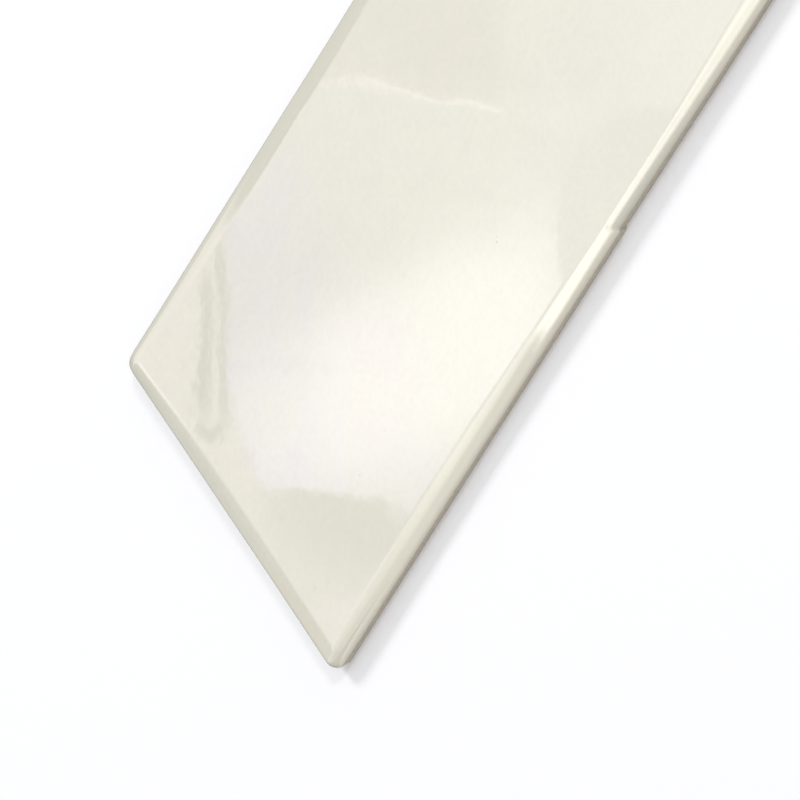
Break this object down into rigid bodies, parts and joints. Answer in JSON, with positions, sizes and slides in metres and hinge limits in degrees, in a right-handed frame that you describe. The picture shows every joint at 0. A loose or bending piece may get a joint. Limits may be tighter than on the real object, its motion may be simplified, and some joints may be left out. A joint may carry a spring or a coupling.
{
  "type": "subway tile",
  "caption": "Long glazed ceramic wall tile with a softly waved glossy face, rolled edges, a bare tapered foot and a keyed back",
  "frame": {"origin": "centre of the back, on the plane that the tile lies on", "axes": "+X along the tile, +Y across it, +Z out of the glazed face"},
  "size_m": [0.3, 0.1, 0.0065],
  "materials": {
    "glazed_ceramic": "glossy warm white glaze over a bare buff biscuit foot and back"
  },
  "bodies": {
    "root": {"tile": "glazed_ceramic"}
  },
  "joints": []
}
